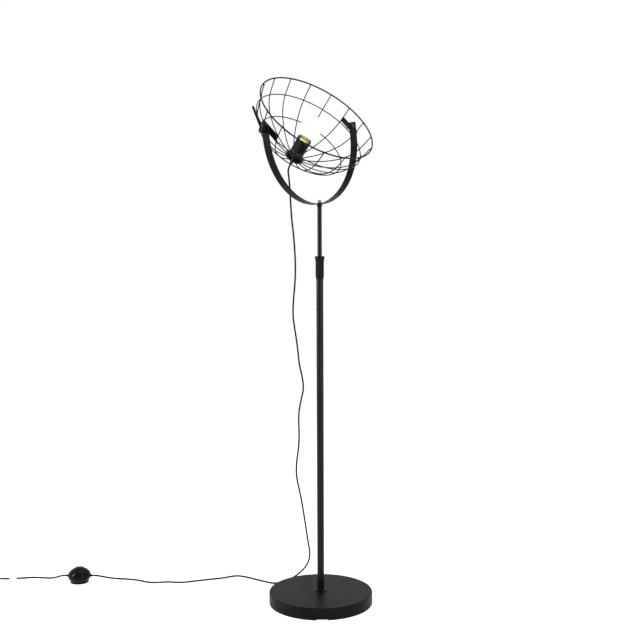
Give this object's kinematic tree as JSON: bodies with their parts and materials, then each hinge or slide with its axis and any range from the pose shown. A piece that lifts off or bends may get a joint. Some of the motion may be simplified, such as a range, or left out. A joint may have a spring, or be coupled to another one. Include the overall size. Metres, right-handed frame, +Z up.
{
  "type": "floor lamp",
  "caption": "Floor lamp with a weighted round base, telescopic pole, leaning U bracket, open wire cage round a bare bulb, and a cord with a foot switch",
  "frame": {"origin": "middle of the base where it stands on the floor", "axes": "+Z up along the pole, +X to the viewer's right, the viewer stands at -Y"},
  "size_m": [1.2099, 0.3896, 1.4209],
  "materials": {
    "satin_black": "satin",
    "bright_steel": "plain",
    "dark_steel": "rough cast",
    "brass": "bright",
    "black_plastic": "gloss",
    "pale_plastic": "matte",
    "grey_plastic": "matte",
    "felt": "felt",
    "cord_sheath": "matte",
    "bulb_glass": "opal, lit",
    "bulb_metal": "bright"
  },
  "bodies": {
    "stand": {"base_felt": "felt", "base_weight": "dark_steel", "base_cover": "satin_black", "base_spacer": "dark_steel", "base_washer": "bright_steel", "base_bolt": "bright_steel", "pole_flange": "satin_black", "lower_tube": "satin_black", "foot_plug": "satin_black", "collet_bush": "grey_plastic", "cord_floor": "cord_sheath", "cord_tail": "cord_sheath", "cord_coil": "cord_sheath", "coil_tie": "grey_plastic", "cord_marker": "pale_plastic", "plug_body": "black_plastic", "plug_pins": "bright_steel", "switch_cover": "black_plastic", "switch_base": "black_plastic", "switch_screws": "bright_steel", "contact_block": "grey_plastic", "switch_spring": "bright_steel"},
    "collar": {"twist_collar": "satin_black"},
    "mast": {"upper_tube": "satin_black", "slide_guide": "grey_plastic", "guide_pin": "bright_steel", "mast_top_plug": "satin_black", "yoke_stud": "bright_steel", "cap_nut": "bright_steel", "cord_drop": "cord_sheath"},
    "yoke": {"yoke_strap": "satin_black", "saddle_lower": "satin_black", "saddle_upper": "satin_black", "friction_washers": "grey_plastic", "outer_washers": "bright_steel", "cord_swivel": "cord_sheath"},
    "head": {"cage_ribs": "satin_black", "cage_rim": "satin_black", "cage_ring_upper": "satin_black", "cage_ring_lower": "satin_black", "cage_hub": "satin_black", "holder_cap": "black_plastic", "holder_sleeve": "black_plastic", "nipple": "bright_steel", "nipple_nut": "bright_steel", "screw_shell": "brass", "contact_core": "pale_plastic", "centre_contact": "brass", "bulb_cap": "bulb_metal", "bulb_glass": "bulb_glass", "cord_gland": "black_plastic", "pivot_plates": "satin_black", "pivot_spacers": "satin_black", "pivot_bolts": "satin_black", "lock_nut": "satin_black", "cord_head": "cord_sheath"},
    "clamp": {"clamp_hub": "satin_black", "lever_rod": "satin_black"},
    "button": {"switch_button": "black_plastic"}
  },
  "joints": [
    {"name": "mast_slide", "type": "slide", "parent": "stand", "child": "mast", "axis": [0, 0, 1], "range_m": [-0.12, 0.25], "deforming": ["cord_drop"]},
    {"name": "yoke_swivel", "type": "hinge", "parent": "mast", "child": "yoke", "pos_m": [0, 0, 1.0786], "axis": [0, 0, 1], "range_deg": [-120, 120], "deforming": ["cord_swivel"]},
    {"name": "head_tilt", "type": "hinge", "parent": "yoke", "child": "head", "pos_m": [-0.02176, -0.01401, 1.27662], "axis": [0.669, 0.7326, 0.1253], "range_deg": [-90, 75], "deforming": ["cord_head"]},
    {"name": "clamp_turn", "type": "hinge", "parent": "yoke", "child": "clamp", "pos_m": [-0.14301, -0.1468, 1.2539], "axis": [-0.669, -0.7326, -0.1253], "range_deg": [-90, 60]},
    {"name": "collar_twist", "type": "hinge", "parent": "stand", "child": "collar", "pos_m": [0, 0, 0.9245], "axis": [0, 0, 1], "range_deg": [0, 150]},
    {"name": "switch_press", "type": "slide", "parent": "stand", "child": "button", "axis": [0, 0, -1], "range_m": [0, 0.004], "stiffness_N_per_m": 900, "deforming": ["switch_spring"]}
  ]
}
